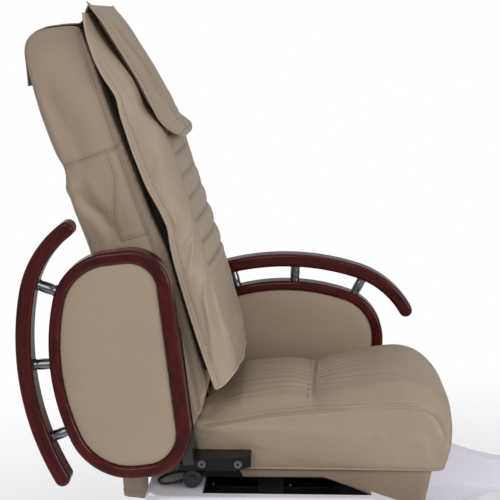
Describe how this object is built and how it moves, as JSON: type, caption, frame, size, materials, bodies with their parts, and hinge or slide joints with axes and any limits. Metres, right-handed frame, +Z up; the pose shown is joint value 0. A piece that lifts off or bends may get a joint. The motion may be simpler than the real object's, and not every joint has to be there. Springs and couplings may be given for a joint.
{
  "type": "pedicure chair",
  "caption": "Upholstered pedicure chair with ring armrests that swing up, a reclining ribbed back with a massage unit and a sliding seat on a moulded foot-bath base.",
  "frame": {"origin": "centre of the base's footprint, on the floor", "axes": "+X towards the sitter's feet, +Y to the sitter's left, +Z up"},
  "size_m": [1.5734, 0.744, 1.4972],
  "materials": {
    "moulded_shell": "glossy moulded lilac grey",
    "bowl": "glossy white",
    "floor_board": "matt dark grey",
    "chrome_trim": "bright chrome",
    "black_steel": "satin black paint",
    "rail_steel": "ground steel",
    "black_housing": "matt black",
    "plywood": "bare plywood",
    "leather": "soft taupe leather",
    "mahogany": "semi-gloss dark red lacquer",
    "lead_sheath": "matt black",
    "roller_rubber": "matt"
  },
  "bodies": {
    "base": {"base_shell": "moulded_shell", "base_floor_panel": "floor_board", "foot_bowl": "bowl", "bowl_drain": "chrome_trim", "base_frame": "black_steel", "guide_rail_right": "rail_steel", "guide_rail_left": "rail_steel", "rail_screws": "rail_steel", "slide_actuator": "black_housing"},
    "carriage": {"carriage_frame": "black_steel", "guide_blocks": "black_housing", "slide_actuator_rod": "rail_steel", "seat_frame": "black_steel", "seat_pan": "plywood", "seat_cushion": "leather", "seat_skirt": "leather", "arm_bracket_right": "black_steel", "arm_bracket_left": "black_steel", "bracket_screws_right": "chrome_trim", "bracket_screws_left": "chrome_trim", "recline_gearmotor": "black_housing", "pivot_cap_left": "black_housing", "motor_lead": "lead_sheath"},
    "back": {"recline_shaft_right": "rail_steel", "recline_shaft_left": "rail_steel", "back_frame": "black_steel", "back_body": "leather", "back_pad": "leather", "cover_wing_right": "leather", "cover_wing_left": "leather", "head_pillow": "leather", "pillow_strap": "leather", "back_tail": "leather", "massage_guide_rods": "rail_steel", "massage_screw": "rail_steel", "massage_motor": "black_housing"},
    "massage_head": {"massage_carriage": "black_housing"},
    "massage_roller_set": {"massage_axle": "rail_steel", "massage_rollers": "roller_rubber"},
    "right_arm": {"right_armrest_ring": "mahogany", "right_armrest_panel": "leather", "right_armrest_rail": "mahogany", "right_armrest_posts": "chrome_trim", "right_hinge_plate": "black_steel", "right_hinge_screws": "chrome_trim", "right_pivot_pin": "chrome_trim"},
    "left_arm": {"left_armrest_ring": "mahogany", "left_armrest_panel": "leather", "left_armrest_rail": "mahogany", "left_armrest_posts": "chrome_trim", "left_hinge_plate": "black_steel", "left_hinge_screws": "chrome_trim", "left_pivot_pin": "chrome_trim"}
  },
  "joints": [
    {"name": "seat_slide", "type": "slide", "parent": "base", "child": "carriage", "axis": [-1, 0, 0], "range_m": [0, 0.1], "deforming": ["seat_skirt"]},
    {"name": "back_recline", "type": "hinge", "parent": "carriage", "child": "back", "pos_m": [-0.545, 0, 0.455], "axis": [0, -1, 0], "range_deg": [0, 30], "deforming": ["back_tail"]},
    {"name": "massage_travel", "type": "slide", "parent": "back", "child": "massage_head", "axis": [-0.293, 0, 0.9561], "range_m": [-0.18, 0.24]},
    {"name": "massage_spin", "type": "hinge", "parent": "massage_head", "child": "massage_roller_set", "pos_m": [-0.67493, 0, 1.04372], "axis": [0, 1, 0], "continuous": true},
    {"name": "right_arm_swing", "type": "hinge", "parent": "carriage", "child": "right_arm", "pos_m": [-0.555, -0.342, 0.528], "axis": [0, 1, 0], "range_deg": [0, 97]},
    {"name": "left_arm_swing", "type": "hinge", "parent": "carriage", "child": "left_arm", "pos_m": [-0.555, 0.342, 0.528], "axis": [0, -1, 0], "range_deg": [0, 97]}
  ]
}
